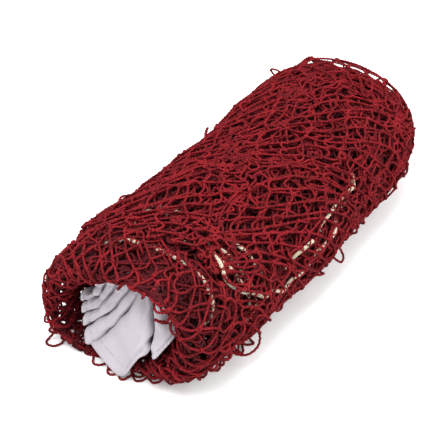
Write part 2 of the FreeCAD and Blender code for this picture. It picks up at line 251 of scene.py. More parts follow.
def cap_surface(reach=190.0):
    """The far end. Both coordinates are distances from its pole."""
    flat = np.arange(-reach, reach + 1, 3.0)
    p, q = np.meshgrid(flat, flat, indexing="ij")
    distance = np.hypot(p, q)
    x, size = meridian(distance)
    angle = np.arctan2(q * HALF_HEIGHT, p * HALF_WIDTH)
    c, s = np.cos(angle), np.sin(angle)
    norm = (np.abs(c) ** SECTION_POWER + np.abs(s) ** SECTION_POWER) ** (1 / SECTION_POWER)
    y = lean(x) + c / norm * size * HALF_WIDTH
    z = HALF_HEIGHT + s / norm * size * HALF_HEIGHT
    return Surface(np.stack([x, y, z], axis=2), flat, flat, wraps=False)


MOUTH_DEPTH = 78.0
TUNNEL_MIDDLE = 15.0, 58.0
TUNNEL_HALF = 65.0, 48.0
TUNNEL_TILT = -0.33
NOSE_SHARE, NOSE_LEAST, NOSE_MOST = 0.55, 5.0, 26.0
FOOT_SETBACK, FOOT_HEIGHT, FOOT_REACH = 10.0, 22, 45


def mouth_surface():
    """The near end, from outside the collar round the rim and into the tunnel.

    s is 0 on the rim's crest. The rim's foot stands back from the rim's top.
    """
    columns = len(UNIT_Y)
    start = NEAR_X + MOUTH_DEPTH
    rim = collar_size(NEAR_X)
    inner_y = TUNNEL_MIDDLE[0] + UNIT_Y * TUNNEL_HALF[0]
    inner_z = TUNNEL_MIDDLE[1] + UNIT_Z * TUNNEL_HALF[1] + TUNNEL_TILT * UNIT_Y * TUNNEL_HALF[0]
    rim_y = lean(NEAR_X) + UNIT_Y * rim * HALF_WIDTH
    thickness = np.hypot(rim_y - inner_y, HALF_HEIGHT * rim * (1 + UNIT_Z) - inner_z)
    nose = np.clip(thickness * NOSE_SHARE, NOSE_LEAST, NOSE_MOST)
    steps, turn_steps = 60, 40
    straight = start - (NEAR_X + nose)
    turn = np.linspace(0, np.pi, turn_steps)[:, None]
    outside = start - straight * np.linspace(0, 1, steps)[:-1, None]
    inside = start - straight * np.linspace(1, 0, steps)[1:, None]
    x = np.concatenate([outside, NEAR_X + nose - nose * np.sin(turn), inside])
    flat = np.zeros((steps - 1, 1))
    share = np.concatenate([flat, (1 - np.cos(turn)) / 2, flat + 1])
    size = collar_size(x) * groove(x, UNIT_Y[None])
    outer_y = lean(x) + UNIT_Y * size * HALF_WIDTH
    outer_z = HALF_HEIGHT * size * (1 + UNIT_Z)
    y = outer_y * (1 - share) + inner_y * share
    z = outer_z * (1 - share) + inner_z * share
    near = np.clip((NEAR_X + FOOT_REACH - x) / FOOT_REACH, 0, 1)
    x = x + FOOT_SETBACK * np.clip(1 - z / FOOT_HEIGHT, 0, 1) * near
    profile = np.stack([x, y, z], axis=2)
    run = np.linalg.norm(np.diff(profile, axis=0), axis=2)
    length = np.concatenate([np.zeros((1, columns)), np.cumsum(run, axis=0)])
    crest = length[steps - 1 + turn_steps // 2]
    s = np.arange(-72.0, 80.0, 2.5)
    points = np.empty((len(s), columns, 3))
    for column in range(columns):
        for axis in range(3):
            at = length[:, column] - crest[column]
            points[:, column, axis] = np.interp(s, at, profile[:, column, axis])
    return Surface(points, s, V_VALUES, wraps=True)


# ---- netting at rest

MESH_SIDE = 22.5
BAR_PARTS = 5
PART_LENGTH = MESH_SIDE / BAR_PARTS
BOW_WAVE, BOW_MOST = 1.8, 1.3
BENDING = 0.06


def twine_lines(knot_rows, knots):
    """The lines of each family of twine as node numbers, and how many nodes there are.

    Each line is a row of knots with the nodes of its bars between them.
    """
    inner = BAR_PARTS - 1
    families, base = [], knots
    for knot in knot_rows:
        bars = knot[:, :-1].size
        starts = base + (np.arange(bars) * inner).reshape(knot[:, :-1].shape)
        cells = np.concatenate([knot[:, :-1, None], starts[..., None] + np.arange(inner)], axis=2)
        families.append(np.concatenate([cells.reshape(len(knot), -1), knot[:, -1:]], axis=1))
        base += bars * inner
    return families, base


def tube_lattice(rows, columns):
    """A closed tube of meshes: the lines of its two families of twine, and how many nodes it has."""
    row, start = np.arange(rows), np.arange(columns)[:, None]
    ways = start + row // 2, start - (row + 1) // 2
    return twine_lines([row * columns + way % columns for way in ways], rows * columns)


def sheet_lattice(count):
    """An open sheet of meshes, count bars each way, as tube_lattice."""
    number = np.arange((count + 1) ** 2).reshape(count + 1, count + 1)
    return twine_lines([number, number.T], number.size)


def fill_bars(q, families, surface, wave_seed):
    """Places each bar's nodes between its knots, bowed out by its spare length."""
    inner = BAR_PARTS - 1
    share = np.arange(1, BAR_PARTS) / BAR_PARTS
    for number, lines in enumerate(families):
        way = wave_field(wave_seed + number, 45.0, surface.round_length)
        rng = np.random.default_rng(wave_seed + number)
        ends = lines[:, ::BAR_PARTS]
        start = q[ends[:, :-1]]
        span = short_way(q[ends[:, 1:]] - start, surface.round_length)
        chord = np.linalg.norm(span, axis=2)
        bow = 2 * chord / np.pi * np.sqrt(np.clip(MESH_SIDE / np.maximum(chord, 4) - 1, 0, 1.2))
        turned = BOW_WAVE * way(start[..., 0], start[..., 1]) + rng.normal(0, 0.8, chord.shape)
        bow *= np.clip(turned, -BOW_MOST, BOW_MOST)
        twist = bow * rng.normal(0, 0.75, chord.shape)
        side = np.stack([-span[..., 1], span[..., 0], 0 * chord], axis=2)
        side /= np.maximum(chord, 1)[..., None]
        for index in range(inner):
            nodes = lines[:, index + 1 :: BAR_PARTS]
            out = bow * np.sin(np.pi * share[index]) + twist * np.sin(2 * np.pi * share[index])
            q[nodes] = start + span * share[index] + side * out[..., None]


def short_way(gap, turn):
    """Differences of coordinates, taken the short way if the second goes round the bundle."""
    if turn:
        gap[..., 1] = (gap[..., 1] + turn / 2) % turn - turn / 2
    return gap


def relax(q, families, surface, play, steps, held):
    """Lets the twine find its rest: bars keep their length, bend smoothly and stay in the layer.

    q holds each node's two coordinates and its height over the surface, play is how far it may
    stand above or below the layer, and held lists the nodes that stay where they are.
    """
    turn = surface.round_length
    held_at = q[held].copy()
    for step in range(steps):
        if step % 10 == 0:
            metric = surface.sample(surface.metric, q[:, 0], q[:, 1])
        for lines in families:
            line = q[lines]
            along, shear, around = (metric[lines, k] for k in range(3))
            for parity in (0, 1):
                b = slice(parity + 1, line.shape[1], 2)
                a = slice(parity, parity + 2 * line[:, b].shape[1], 2)
                gap = short_way(line[:, b] - line[:, a], turn)
                first = along[:, a] * gap[..., 0] + shear[:, a] * gap[..., 1]
                real = np.stack([first, around[:, a] * gap[..., 1], gap[..., 2]], axis=2)
                length = np.sqrt((real**2).sum(2)) + 0.3
                move = 0.5 * (1 - PART_LENGTH / length)
                move = np.where(move > 0, move, 0.6 * move)[..., None]
                line[:, a] += gap * move
                line[:, b] -= gap * move
            back = short_way(line[:, :-2] - line[:, 1:-1], turn)
            on = short_way(line[:, 2:] - line[:, 1:-1], turn)
            lift = (back + on) * (0.5 * BENDING)
            line[:, 1:-1] += lift
            line[:, :-2] -= lift / 2
            line[:, 2:] -= lift / 2
            q[lines] = line
        q[:, 2] = np.clip(q[:, 2], -play, play)
        q[:, 0] = np.clip(q[:, 0], surface.s0 + 1, surface.s_end - 1)
        q[held] = held_at
    return q


# ---- twine as mesh


def smooth_lines(lines, parts):
    """Smooth curves through each line's points, in parts for each gap."""
    padded = np.concatenate(
        [2 * lines[:, :1] - lines[:, 1:2], lines, 2 * lines[:, -1:] - lines[:, -2:-1]], axis=1
    )
    p0, p1, p2, p3 = (padded[:, k : k + lines.shape[1] - 1, None] for k in range(4))
    t = (np.arange(parts) / parts)[None, None, :, None]
    curve = 0.5 * (
        2 * p1
        + (p2 - p0) * t
        + (2 * p0 - 5 * p1 + 4 * p2 - p3) * t**2
        + (3 * p1 - p0 - 3 * p2 + p3) * t**3
    )
    return np.concatenate([curve.reshape(len(lines), -1, 3), lines[:, -1:]], axis=1)


def carried_sides(lines):
    """Two directions square to each line, which turn only as it does."""
    tangent = unit(np.gradient(lines, axis=1))
    side = np.empty_like(lines)
    side[:, 0] = unit(np.cross(tangent[:, 0], [0.31, 0.52, 0.79]))
    for k in range(1, lines.shape[1]):
        last, way = side[:, k - 1], tangent[:, k]
        side[:, k] = unit(last - (last * way).sum(1, keepdims=True) * way)
    return side, np.cross(tangent, side)


def tube_arrays(lines, radius, sides, lobes=0.0, twist=0.0):
    """Vertices, faces and end faces of tubes along lines.

    With lobes, every other side is a strand's crest.
    """
    count, steps = lines.shape[:2]
    lines = lines.copy()
    lines[..., 2] = np.maximum(lines[..., 2], radius * (1 + lobes))
    side, other = carried_sides(lines)
    angle = np.arange(sides) * 2 * np.pi / sides
    turned = np.arange(steps)[:, None] * twist + angle[None]
    crest = 1 + lobes * np.where(np.arange(sides) % 2 == 0, 1.0, -1.0)
    reach = (radius * crest)[None, None, :, None]
    c, s = np.cos(turned)[None, :, :, None], np.sin(turned)[None, :, :, None]
    vertices = lines[:, :, None] + (side[:, :, None] * c + other[:, :, None] * s) * reach
    ring = np.arange(count * steps).reshape(count, steps)[:, :, None] * sides + np.arange(sides)
    following = np.roll(ring, -1, axis=2)
    quads = np.stack([ring[:, :-1], following[:, :-1], following[:, 1:], ring[:, 1:]], axis=3)
    return vertices.reshape(-1, 3), quads.reshape(-1, 4), [ring[:, 0, ::-1], ring[:, -1]]


def joined(parts):
    """Tubes made apart, as one mesh: vertices, faces and end faces."""
    vertices, quads, caps, base = [], [], [], 0
    for part_vertices, part_quads, part_caps in parts:
        vertices.append(part_vertices)
        quads.append(part_quads + base)
        caps += [face + base for face in part_caps]
        base += len(part_vertices)
    return np.concatenate(vertices), np.concatenate(quads), caps


def mesh_piece(name, material, vertices, quads, caps=()):
    """A smooth mesh of quads and end faces in mm, kept above the floor."""
    mesh = bpy.data.meshes.new(name)
    mesh.vertices.add(len(vertices))
    vertices = np.array(vertices)
    vertices[:, 2] = np.maximum(vertices[:, 2], 0.0)
    mesh.vertices.foreach_set("co", (vertices * MM).astype(np.float32).ravel())
    faces = [quads, *caps]
    loops = np.concatenate([f.ravel() for f in faces])
    sizes = np.concatenate([np.full(len(f), f.shape[1]) for f in faces])
    mesh.loops.add(len(loops))
    mesh.loops.foreach_set("vertex_index", loops.astype(np.int32))
    mesh.polygons.add(len(sizes))
    starts = np.concatenate([[0], np.cumsum(sizes)[:-1]])
    mesh.polygons.foreach_set("loop_start", starts.astype(np.int32))
    mesh.polygons.foreach_set("use_smooth", np.ones(len(sizes), dtype=bool))
    mesh.update(calc_edges=True)
    mesh.validate()
    mesh.materials.append(material)
    piece = bpy.data.objects.new(name, mesh)
    bpy.context.scene.collection.objects.link(piece)
    return piece


def hand_in(piece, slot, *nodes):
    """Gives a piece its body and hides the CAD nodes it replaces. The slot is not used."""
    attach(piece, "root")
    if nodes:
        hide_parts(*nodes)


# ---- materials


def principled(name, roughness, specular=0.5):
    """A new material with its node tree and principled shader."""
    material = bpy.data.materials.new(name)
    material.use_nodes = True
    tree = material.node_tree
    shader = tree.nodes["Principled BSDF"]
    shader.inputs["Roughness"].default_value = roughness
    shader.inputs["Specular IOR Level"].default_value = specular
    return material, tree, shader


def noise(tree, place, scale, detail, roughness=0.5):
    """Noise over the object."""
    texture = tree.nodes.new("ShaderNodeTexNoise")
    texture.inputs["Scale"].default_value = scale
    texture.inputs["Detail"].default_value = detail
    texture.inputs["Roughness"].default_value = roughness
    tree.links.new(place.outputs["Object"], texture.inputs["Vector"])
    return texture.outputs["Fac"]


def colour_by(tree, shader, value, spread, dark, light):
    """Colours a shader dark to light, as a value goes from spread below one half to above it."""
    ramp = tree.nodes.new("ShaderNodeValToRGB")
    for number, (position, colour) in enumerate(((0.5 - spread, dark), (0.5 + spread, light))):
        ramp.color_ramp.elements[number].position = position
        ramp.color_ramp.elements[number].color = (*colour, 1)
    tree.links.new(value, ramp.inputs["Fac"])
    tree.links.new(ramp.outputs["Color"], shader.inputs["Base Color"])


def scaled_sum(tree, value, factor, added):
    """A value times a factor, and another value or number added."""
    total = tree.nodes.new("ShaderNodeMath")
    total.operation = "MULTIPLY_ADD"
    tree.links.new(value, total.inputs[0])
    total.inputs[1].default_value = factor
    if isinstance(added, float):
        total.inputs[2].default_value = added
    else:
        tree.links.new(added, total.inputs[2])
    return total.outputs["Value"]


def twine_material(name, dark, light):
    """Dyed twine: the dye takes unevenly, from place to place and along a strand. Darker copies of
    it paint the shade on netting that lies under other layers.
    """
    material, tree, shader = principled(name, 0.8, 0.15)
    place = tree.nodes.new("ShaderNodeTexCoord")
    patches = scaled_sum(tree, noise(tree, place, 60.0, 6.0, 0.75), 1.0, -0.45)
    value = scaled_sum(tree, noise(tree, place, 700.0, 2.0), 0.9, patches)
    colour_by(tree, shader, value, 0.18, dark, light)
    return material


NETTING_RED = twine_material("netting_twine", (0.070, 0.002, 0.004), (0.240, 0.009, 0.014))
# The same red made darker: painted shade for netting under the outer layers and deep in the bundle.
UNDER_SHADED_RED = twine_material("netting_under_shaded", (0.048, 0.0015, 0.003), (0.160, 0.006, 0.010))
DEEP_SHADED_RED = twine_material("netting_deep_shaded", (0.025, 0.001, 0.002), (0.085, 0.004, 0.007))
# Near black: painted shade for the packed netting inside the bundle and in the mouth's roll.
CORE_SHADE_RED = twine_material("netting_core_shade", (0.006, 0.0005, 0.001), (0.02, 0.001, 0.003))


def cloth_material(name, dark, light, patch, grain, bump):
    """Woven or braided fibre: a soft change of colour over patches and a fine raised grain."""
    material, tree, shader = principled(name, 0.85, 0.2)
    place = tree.nodes.new("ShaderNodeTexCoord")
    colour_by(tree, shader, noise(tree, place, patch, 4.0), 0.15, dark, light)
    raised = tree.nodes.new("ShaderNodeBump")
    raised.inputs["Strength"].default_value = bump
    raised.inputs["Distance"].default_value = 0.0004
    tree.links.new(noise(tree, place, grain, 3.0), raised.inputs["Height"])
    tree.links.new(raised.outputs["Normal"], shader.inputs["Normal"])
    return material


WHITE_FABRIC = cloth_material(
    "headband_fabric", (0.375, 0.343, 0.378), (0.465, 0.43, 0.467), 22.0, 1500.0, 0.35
)
ROPE_CREAM = cloth_material(
    "edge_rope", (0.40, 0.33, 0.24), (0.60, 0.53, 0.42), 40.0, 1200.0, 0.3
)
CORD_WHITE = cloth_material(
    "head_cord", (0.70, 0.68, 0.66), (0.82, 0.80, 0.78), 40.0, 1200.0, 0.3
)
SEWING_THREAD = cloth_material(
    "sewing_thread", (0.345, 0.315, 0.348), (0.42, 0.39, 0.423), 60.0, 2000.0, 0.2
)

# ---- netting layers

TWINE_RADIUS = 1.25
barrel = barrel_surface()
cap = cap_surface()
mouth = mouth_surface()
puff = wave_field(5, 120.0, barrel.round_length)


# The waves that the netting's slack makes in it: each one's share, and its length in mm.
SLACK_WAVES = (1.0, 150.0), (0.42, 62.0), (0.14, 34.0)


def scattered(surface, s, v, size, nodes, seed):
    """Room for a layer's nodes, with its knots placed as the netting lies bunched and pulled."""
    q = np.zeros((nodes, 3))
    rng = np.random.default_rng(seed)
    for axis, place in enumerate((s, v)):
        waves = [
            part * wave_field(seed * 7 + axis + 3 * k, wavelength, surface.round_length)(s, v)
            for k, (part, wavelength) in enumerate(SLACK_WAVES)
        ]
        q[: len(s), axis] = place + (size * sum(waves) + rng.normal(0, 1.7, s.shape))
    return q


def rolling(surface, q, play, seed):
    """Heights of nodes over a layer's middle, as its twine passes over and under."""
    return wave_field(seed * 13, 34.0, surface.round_length)(q[:, 0], q[:, 1]) * play * 0.7


def in_space(surface, families, q, depth, rounds):
    """A layer's twine as lines of points. Rounds draw in what the tight bends have stretched."""
    places = surface.place(q[:, 0], q[:, 1], q[:, 2] - depth(q[:, 0], q[:, 1]))
    for _ in range(rounds):
        for lines in families:
            line = places[lines]
            gap = line[:, 1:] - line[:, :-1]
            length = np.linalg.norm(gap, axis=2, keepdims=True) + 1e-9
            move = gap * 0.3 * np.clip(1 - 1.25 * PART_LENGTH / length, 0, 1)
            line[:, :-1] += move
            line[:, 1:] -= move
            places[lines] = line
    places[:, 2] = np.maximum(places[:, 2], TWINE_RADIUS)
    return [places[lines] for lines in families]


def tube_layer(surface, s_from, s_to, rows, columns, depth, play, seed, warp, shear, loose):
    """One layer of netting all round a surface, as in_space."""
    families, nodes = tube_lattice(rows, columns)
    knots = rows * columns
    row, column = np.divmod(np.arange(knots), columns)
    s = s_from + (s_to - s_from) * row / (rows - 1)
    v = (column + 0.5 * (row % 2)) * surface.round_length / columns + shear * s
    q = scattered(surface, s, v, warp, nodes, seed)
    q[:knots, 2] = np.random.default_rng(seed + 500).uniform(-0.6, 0.6, knots) * play
    fill_bars(q, families, surface, seed * 11)
    q[knots:, 2] = rolling(surface, q[knots:], play, seed)
    ends = np.flatnonzero((row == 0) | (row == rows - 1))
    q = relax(q, families, surface, play, 50, ends)
    lift_bars(q, families, loose, seed)
    return in_space(surface, families, q, depth, 60)


def lift_bars(q, families, loose, seed):
    """Raises a share of the bars off the layer as slack bows."""
    rng = np.random.default_rng(seed + 900)
    for lines in families:
        bars = (lines.shape[0], (lines.shape[1] - 1) // BAR_PARTS)
        height = np.where(rng.random(bars) < loose, rng.uniform(2.0, 5.5, bars), 0.0)
        for index in range(1, BAR_PARTS):
            q[lines[:, index::BAR_PARTS], 2] += height * math.sin(math.pi * index / BAR_PARTS)


# The sheets over the far end and the hollow's back have meshes longer one way than the other, and
# each is turned by an angle from its seed, in radians.
LONG_WAY, SHORT_WAY = 1.25, 0.8
TURN_PER_SEED = 0.6


def cap_layer(surface, count, spread, depth, play, seed):
    """One sheet of netting over an end, as in_space."""
    families, nodes = sheet_lattice(count)
    a, b = np.divmod(np.arange((count + 1) ** 2), count + 1)
    a, b = (a - count / 2) * spread * LONG_WAY, (b - count / 2) * spread * SHORT_WAY
    angle = TURN_PER_SEED * seed
    p, r = a * math.cos(angle) - b * math.sin(angle), a * math.sin(angle) + b * math.cos(angle)
    q = scattered(surface, p, r, 11.0, nodes, seed)
    fill_bars(q, families, surface, seed * 11)
    q[:, 2] = rolling(surface, q, play, seed)
    q = relax(q, families, surface, play, 60, np.array([], dtype=int))
    limit = surface.s_end - 2
    q[:, :2] = np.clip(q[:, :2], -limit, limit)
    return in_space(surface, families, q, depth, 0)


def even_depth(value):
    """The same depth everywhere."""
    return lambda p, q: value


LOOSE_SEED, LOOSE_MESHES = 35, (12, 17.5)
LOOSE_SUNK, LOOSE_EDGE = 5.0, 0.22


def loose_depth(p, q):
    """The depth of the far end's outermost netting, in its loose sheet's coordinates.

    It stands off the end's left and top, lies close on its right and sinks in at its edges.
    """
    angle = TURN_PER_SEED * LOOSE_SEED
    a = p * math.cos(angle) + q * math.sin(angle)
    b = q * math.cos(angle) - p * math.sin(angle)
    reach = LOOSE_MESHES[0] * LOOSE_MESHES[1] / 2
    inside = 1 - np.maximum(np.abs(a) / (LONG_WAY * reach), np.abs(b) / (SHORT_WAY * reach))
    raised = 5.2 + 3.2 * np.clip((p + 80) / 50, 0, 1)
    return LOOSE_SUNK - np.clip(inside / LOOSE_EDGE, 0, 1) * raised


MOST_TRIANGLES = 190000


def twine_pieces(name, families, fine, material):
    """A layer's twine in pieces small enough for the export to keep whole."""
    pieces = []
    for number, lines in enumerate(families):
        curve = smooth_lines(lines, 3 if fine else 2)
        sides, lobes, twist = (6, 0.18, math.radians(58)) if fine else (5, 0.0, 0.0)
        parts = math.ceil(curve.shape[0] * curve.shape[1] * sides * 2 / MOST_TRIANGLES)
        for part, group in enumerate(np.array_split(curve, parts)):
            tubes = tube_arrays(group, TWINE_RADIUS, sides, lobes, twist)
            pieces.append(mesh_piece(f"{name}_{'ab'[number]}{part + 1}", material, *tubes))
    return pieces


def knot_piece(name, families, material):
    """A hitch of twine round each crossing of a layer's bars."""
    (place, first), (other_place, second) = (
        [table[:, ::BAR_PARTS].reshape(-1, 3) for table in (lines, np.gradient(lines, axis=1))]
        for lines in families
    )
    order = {tuple(point): index for index, point in enumerate(np.round(other_place, 2).tolist())}
    match = np.array([order.get(tuple(point), -1) for point in np.round(place, 2).tolist()])
    found = match >= 0
    place, first, second = place[found], unit(first[found]), unit(second[match[found]])
    second = np.where((first * second).sum(1, keepdims=True) < 0, -second, second)
    axis = unit(first + second)
    side = unit(np.cross(axis, first + 0.3 * np.array([0.3, 0.5, 0.8])))
    other = np.cross(axis, side)
    turn = np.linspace(0, 4 * np.pi, 19)[:, None]
    circle = side[:, None] * np.cos(turn) + other[:, None] * np.sin(turn)
    along = np.linspace(-1, 1, len(turn))[:, None] * TWINE_RADIUS * 0.9
    line = place[:, None] + circle * (TWINE_RADIUS * 1.3) + axis[:, None] * along
    return mesh_piece(name, material, *tube_arrays(line, TWINE_RADIUS * 0.65, 5))


def wrap_depth(value):
    """A barrel layer's depth: uneven, and more where the far end's sheets cover it."""
    return lambda s, v: value - 1.6 * puff(s, v) + 3.2 * np.clip((s + 190) / 110, 0, 1)


def mouth_depth(value):
    """A mouth layer's depth, a little uneven."""
    return lambda s, v: value - 0.8 * puff(s, v)


# netting holds the pieces of each layer by its name. A row of the tables below is a layer: its name,
# depth, rows and columns of knots, shear, whether its twine is fine, and colour, or for an end its
# name, meshes each way, their size, depth, play, seed, whether its twine is fine, and colour.
netting = {}
# Layers under others take the darker twine colours, as painted shade.
BARREL_LAYERS = [
    ("netting_wrap_outer", 1.2, 30, 27, 0.38, True, NETTING_RED),
    ("netting_wrap_second", 3.6, 31, 27, 0.10, True, NETTING_RED),
    ("netting_wrap_third", 6.0, 28, 32, -0.40, True, UNDER_SHADED_RED),
    ("netting_inner_outer", 9.0, 34, 30, 0.15, False, DEEP_SHADED_RED),
    ("netting_inner_second", 11.6, 27, 40, 0.60, False, DEEP_SHADED_RED),
]
MOUTH_LAYERS = [
    ("netting_mouth_outer", 0.6, 10, 27, 0.30, True, NETTING_RED),
    ("netting_mouth_second", 3.0, 13, 18, 0.2, True, UNDER_SHADED_RED),
    ("netting_mouth_third", 5.2, 14, 38, -0.4, False, DEEP_SHADED_RED),
]
FAR_LAYERS = [
    ("netting_far_outer", 15, 15.0, even_depth(4.4), 1.6, 31, True, NETTING_RED),
    ("netting_far_second", 15, 15.0, even_depth(6.8), 1.6, 32, True, NETTING_RED),
    ("netting_far_third", 15, 15.0, even_depth(9.2), 1.6, 33, False, UNDER_SHADED_RED),
    ("netting_far_loose", *LOOSE_MESHES, loose_depth, 2.0, LOOSE_SEED, True, NETTING_RED),
]
HOLLOW_LAYERS = [
    ("netting_hollow_outer", 8, 14.0, even_depth(-3.0), 1.5, 41, False, DEEP_SHADED_RED),
    ("netting_hollow_second", 8, 14.0, even_depth(1.0), 1.5, 42, False, DEEP_SHADED_RED),
]
KNOTTED = "netting_wrap_outer", "netting_wrap_second", "netting_mouth_outer", "netting_far_outer"


def add_layer(name, lines, fine, colour):
    """A layer's twine, and its hitches if they show."""
    netting[name] = twine_pieces(name, lines, fine, colour)
    if name in KNOTTED:
        netting[name].append(knot_piece(name + "_knots", lines, NETTING_RED))


def add_tube_layers(layers, surface, span, depth_under, play, seed, warp, loose):
    """Layers of netting all round a surface. Only the outermost has loose bars."""
    for name, depth, rows, columns, shear, fine, colour in layers:
        shape = rows, columns, depth_under(depth), play, seed, warp, shear, loose
        add_layer(name, tube_layer(surface, *span, *shape), fine, colour)
        seed, loose = seed + 1, 0.0


def add_cap_layers(layers, surface):
    """Sheets of netting over an end."""
    for name, count, spread, depth, play, seed, fine, colour in layers:
        add_layer(name, cap_layer(surface, count, spread, depth, play, seed), fine, colour)


add_tube_layers(BARREL_LAYERS, barrel, (barrel.s0 + 6, -62.0), wrap_depth, 2.3, 1, 7.5, 0.04)
add_tube_layers(MOUTH_LAYERS, mouth, (-70.0, 76.0), mouth_depth, 1.3, 21, 7.0, 0.05)
add_cap_layers(FAR_LAYERS, cap)

CORE_INSET, LEAST_WALL = 15.0, 14.0


def ring_faces(rows, columns):
    """Numbers of points in closed rings, and the faces between the rings."""
    ring = np.arange(rows * columns).reshape(rows, columns)
    following = np.roll(ring, -1, axis=1)
    return ring, np.stack([ring[:-1], following[:-1], following[1:], ring[1:]], axis=2)


def core_piece():
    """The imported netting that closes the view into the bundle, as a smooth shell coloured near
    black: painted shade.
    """
    s = np.linspace(barrel_s(COLLAR_X), -1.0, 120)
    x, size = meridian(-s)
    half_width, half_height = (size[:, None] * (h - CORE_INSET) for h in (HALF_WIDTH, HALF_HEIGHT))
    points = ring_points(x, UNIT_Y[::6], UNIT_Z[::6], half_width, half_height)
    points[..., 0] = np.minimum(points[..., 0], FAR_X - CORE_INSET)
    ring, quads = ring_faces(*points.shape[:2])
    faces = quads.reshape(-1, 4), [ring[:1], ring[-1:, ::-1]]
    return mesh_piece("netting_packed_core_shade", CORE_SHADE_RED, points.reshape(-1, 3), *faces)


def mouth_core_piece():
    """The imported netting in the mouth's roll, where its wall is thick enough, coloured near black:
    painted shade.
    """
    s = np.arange(-70.0, 77.0, 3.0)
    v = mouth.round_length * np.arange(120) / 120
    outer, inner = (mouth.place(0 * v + at, v, 0 * v)[:, 1:] for at in (-40.0, 60.0))
    gap = np.linalg.norm(outer[:, None] - inner[None], axis=2)
    wall = np.minimum(gap.min(1), gap.min(0))
    reach = len(v) // 12
    wall = np.stack([np.roll(wall, shift) for shift in range(-reach, reach + 1)]).min(0)
    grid_s, grid_v = np.meshgrid(s, v, indexing="ij")
    depth = np.broadcast_to(np.clip(wall * 0.42, 2.0, 8.5), grid_s.shape)
    points = mouth.place(grid_s, grid_v, -depth)
    quads = ring_faces(*grid_s.shape)[1][:, wall > LEAST_WALL][..., [0, 3, 2, 1]]
    return mesh_piece("netting_mouth_core_shade", CORE_SHADE_RED, points.reshape(-1, 3), quads.reshape(-1, 4))


netting["netting_packed_core_shade"] = [core_piece()]
netting["netting_mouth_core_shade"] = [mouth_core_piece()]


def tunnel_back_surface():
    """The hollow's inner end, seen flat from the mouth."""
    flat = np.arange(-54.0, 55.0, 3.0)
    p, q = np.meshgrid(flat, flat, indexing="ij")
    x = np.full(p.shape, COLLAR_X - 4.0)
    points = np.stack([x, TUNNEL_MIDDLE[0] + p, TUNNEL_MIDDLE[1] + q], axis=2)
    return Surface(points, flat, flat, wraps=False, outward=-1)


add_cap_layers(HOLLOW_LAYERS, tunnel_back_surface())

# ---- slack bights of twine


def degrees_round(surface, degrees):
    """The coordinate round a surface at an angle."""
    return degrees / 360 * surface.round_length


def bight_lines(surface, places, depth, seed):
    """Slack bars that stand off a layer as small arches. places holds s, v, width and height."""
    rng = np.random.default_rng(seed)
    share = np.array([-1.0, -0.62, -0.2, 0.3, 0.7, 1.0])
    profile = np.array([-3.0, 0.45, 0.95, 1.0, 0.5, -3.0])
    lines = []
    for s, v, width, height in places:
        way = rng.uniform(0, 2 * np.pi)
        up = np.where(profile > 0, profile * height, profile)
        bend = np.array([0.0, 0.2, 0.35, 0.3, 0.15, 0.0]) * width * rng.uniform(-1, 1)
        a = share * width / 2 * math.cos(way) - bend * math.sin(way)
        b = share * width / 2 * math.sin(way) + bend * math.cos(way)
        lines.append(surface.place(s + a, v + b, up - depth(s, v)))
    return np.array(lines)


def random_bights(surface, count, s_range, widths, heights, seed):
    """Places for bights, but none at the upper left, where the netting is taut."""
    rng = np.random.default_rng(seed)
    s = rng.uniform(*s_range, count)
    v = rng.uniform(0, surface.round_length, count)
    feet = surface.place(s, v, np.zeros(count))
    slack = (feet[:, 1] < 25) | (feet[:, 2] < 50)
    sizes = rng.uniform(*widths, count), rng.uniform(*heights, count)
    return np.stack([s, v, *sizes], axis=1)[slack]


def cap_bights(count, reach, seed):
    """Places for bights over the far end."""
    rng = np.random.default_rng(seed)
    p, q = rng.uniform(-reach, reach, (2, count))
    return np.stack([p, q, rng.uniform(13, 21, count), rng.uniform(2.5, 6, count)], axis=1)


RIM_ON_FLOOR = [
    (-219, 109), (-225, 91), (-235, 35), (-240, -4), (-225, -34), (-210, -52), (-183, -62),
    (-160, -66), (-130, -70),
]
BUNDLE_MIDDLE = np.array([-120.0, 20.0])


def floor_bights(line, width, inward, seed):
    """Meshes spread on the floor along a line, each with its ends in the bundle."""
    rng = np.random.default_rng(seed)
    line = np.array(line, float)
    run = run_along(line)
    height = np.array([9.0, 3.0, TWINE_RADIUS, 3.0, 9.0])
    lines = []
    for at in np.arange(width / 2, run[-1], width * 0.85):
        across = rng.uniform(0.8, 1.2) * width
        places = at_run(line, run, at + np.array([-0.35, -0.5, 0.0, 0.5, 0.35]) * across)
        back = inward * np.array([1.0, 0.5, 0.0, 0.5, 1.0]) + rng.uniform(-6, -1)
        places = places + unit(BUNDLE_MIDDLE - places) * back[:, None]
        lines.append(np.concatenate([places, height[:, None]], axis=1))
    return np.array(lines)


LOW = TWINE_RADIUS + 0.1
FREE_STRANDS = [
    [(-226, 84, 8), (-233, 82, LOW), (-241, 86, LOW), (-242, 94, LOW), (-236, 97, LOW),
     (-228, 93, 8)],
    [(-224, 24, 8), (-234, 24, 3), (-243, 20, LOW), (-243, 14, LOW), (-235, 11, 3), (-224, 12, 8)],
    [(-216, -12, 8), (-225, -14, 4), (-232, -9, LOW), (-232, -2, LOW), (-226, 1, 4), (-216, 0, 8)],
    [(-174, -68, 24), (-170, -78, 17), (-163, -87, 16), (-154, -92, 22), (-148, -90, 31),
     (-146, -82, 36)],
    [(-8, -84, 37), (-5, -92, 28), (1, -96, 22), (8, -94, 25), (10, -85, 36)],
    [(-214, -46, 82), (-226, -42, 82), (-234, -37, 85), (-236, -34, 87), (-234, -32, 84),
     (-228, -38, 79), (-216, -46, 78)],
]
BARREL_BIGHTS = random_bights(barrel, 26, (-455, -80), (14, 20), (2.0, 4.5), 71)
MOUTH_BIGHTS = random_bights(mouth, 40, (-60, 20), (12, 18), (2.5, 5.5), 73)
